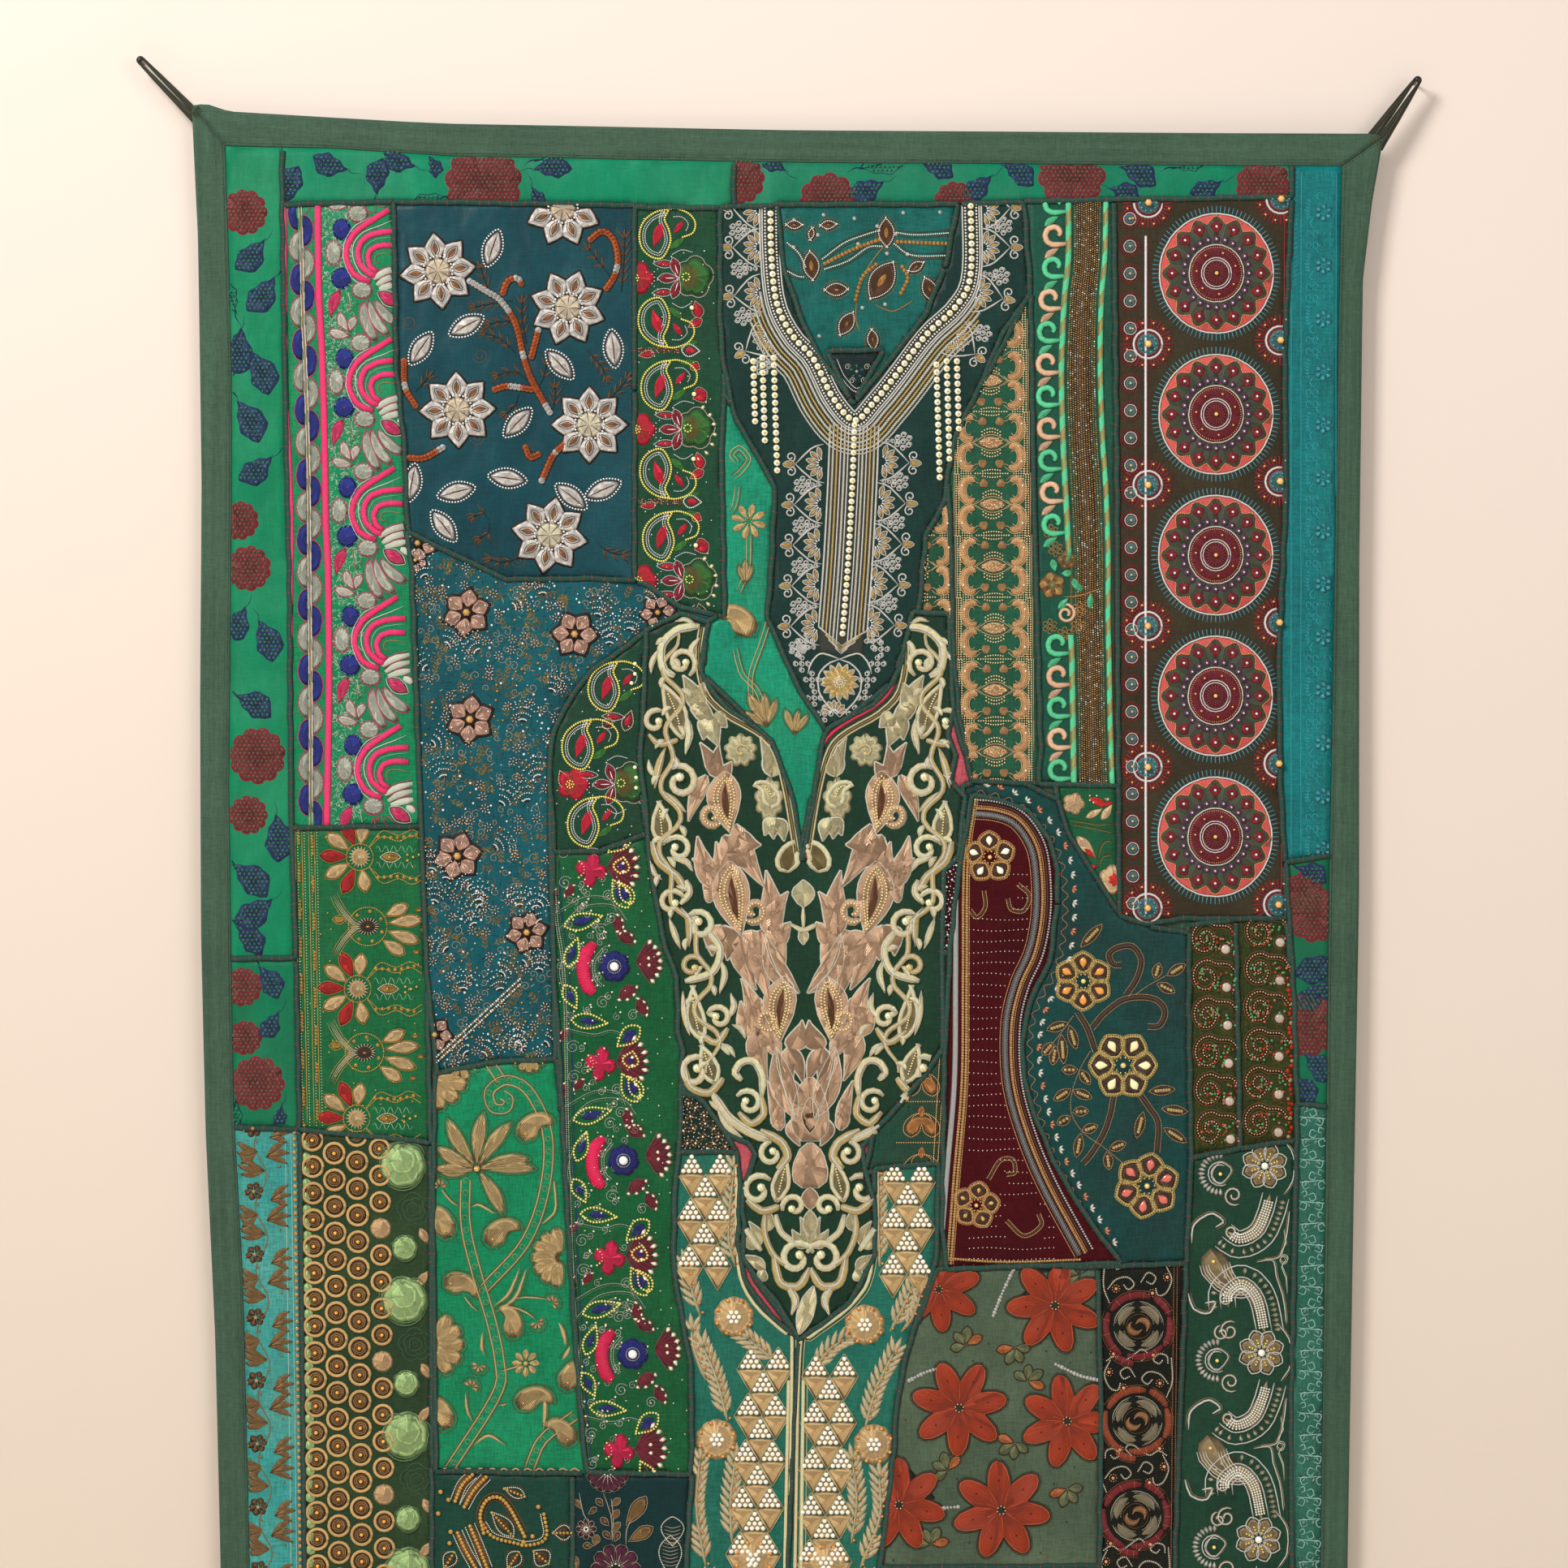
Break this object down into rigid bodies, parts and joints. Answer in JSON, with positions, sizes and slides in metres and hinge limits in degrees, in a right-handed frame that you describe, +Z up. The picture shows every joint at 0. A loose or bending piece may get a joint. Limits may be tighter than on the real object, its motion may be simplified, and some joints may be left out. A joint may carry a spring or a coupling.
{
  "type": "embroidered wall hanging with two nails",
  "caption": "Patchwork wall hanging of older embroidered cloth pieces with a dark green folded binding, hung by a tape loop at each upper corner.",
  "frame": {"origin": "middle of the top edge of the cloth, at the middle of its thickness", "axes": "+Z up along the cloth's length, +X to the right seen from the front, +Y back into the wall; the embroidered face looks along -Y"},
  "size_m": [1.1297, 0.028, 1.5802],
  "materials": {
    "ground_cotton": "plain woven cotton backing, matt",
    "binding_cotton": "dark green cotton poplin tape, matt",
    "loop_tape": "dark olive cotton tape, gathered",
    "nail_steel": "dull dark steel",
    "printed_cotton": "emerald printed cotton, slightly washed out",
    "emerald_silk": "bright emerald silk, soft sheen",
    "green_silk": "green silk, soft sheen",
    "dark_green_silk": "dark green silk, soft sheen",
    "teal_satin": "teal-blue satin",
    "dark_teal_silk": "very dark teal silk",
    "turquoise_silk": "turquoise silk, soft sheen",
    "bright_turquoise_silk": "bright turquoise silk, self-coloured stitching",
    "pale_teal_silk": "pale teal silk",
    "sea_green_silk": "sea-green silk",
    "olive_cotton": "olive cotton, matt",
    "bronze_net": "bronze-green net over cloth",
    "sage_silk": "sage silk, creased",
    "cream_thread": "cream-gold rayon stitching that covers the cloth",
    "maroon_velvet": "dark maroon velvet",
    "plum_lace": "dark plum lace",
    "rose_silk": "faded rose silk",
    "black_net": "black-green net over cloth",
    "seam_cord": "dark green couched cord over the joins",
    "tacking_thread": "orange-red cotton tacking thread",
    "cotton_thread": "cotton and rayon embroidery thread in many colours",
    "gold_thread": "metal-wrapped gold and antique gold thread, satin sheen",
    "silver_thread": "metal-wrapped silver thread, satin sheen",
    "glass_bead": "glass beads, pearls and flat metal sequins"
  },
  "bodies": {
    "root": {"ground_cloth": "ground_cotton", "binding_top": "binding_cotton", "binding_right": "binding_cotton", "binding_bottom": "binding_cotton", "binding_left": "binding_cotton", "yoke_gold": "dark_green_silk", "yoke_pearl": "dark_teal_silk", "neck_tip": "black_net", "neck_inset": "turquoise_silk", "paisley_strip": "green_silk", "lily_sliver": "emerald_silk", "daisy_satin": "teal_satin", "beaded_turquoise": "turquoise_silk", "paisley_small": "green_silk", "navy_flower": "green_silk", "gold_vine": "emerald_silk", "brown_paisley": "turquoise_silk", "maroon_spray": "dark_teal_silk", "diamond_left": "turquoise_silk", "diamond_right": "turquoise_silk", "print_left_high": "printed_cotton", "print_left_low": "printed_cotton", "trim_vine": "pale_teal_silk", "border_scallop": "printed_cotton", "border_lotus": "green_silk", "border_rings": "cream_thread", "print_top_left": "printed_cotton", "print_top_right": "printed_cotton", "ribbon_border": "dark_green_silk", "block_border": "sea_green_silk", "block_sliver": "sea_green_silk", "mandala_border": "olive_cotton", "turquoise_trim": "bright_turquoise_silk", "print_right": "printed_cotton", "pale_trim": "pale_teal_silk", "maroon_panel": "maroon_velvet", "teal_panel": "dark_teal_silk", "cream_flower": "printed_cotton", "scroll_left": "bronze_net", "scroll_right": "bronze_net", "silver_paisley": "dark_green_silk", "rust_star": "sage_silk", "sage_low": "green_silk", "mesh_rosette": "black_net", "dark_sliver": "dark_teal_silk", "copper_corner": "sea_green_silk", "dark_lace": "plum_lace", "rose_high": "rose_silk", "rose_left": "rose_silk", "rose_low": "rose_silk", "rose_side": "rose_silk", "rose_right": "rose_silk", "print_bottom": "printed_cotton", "loop_left": "loop_tape", "loop_right": "loop_tape", "nail_left": "nail_steel", "nail_right": "nail_steel"}
  },
  "joints": []
}
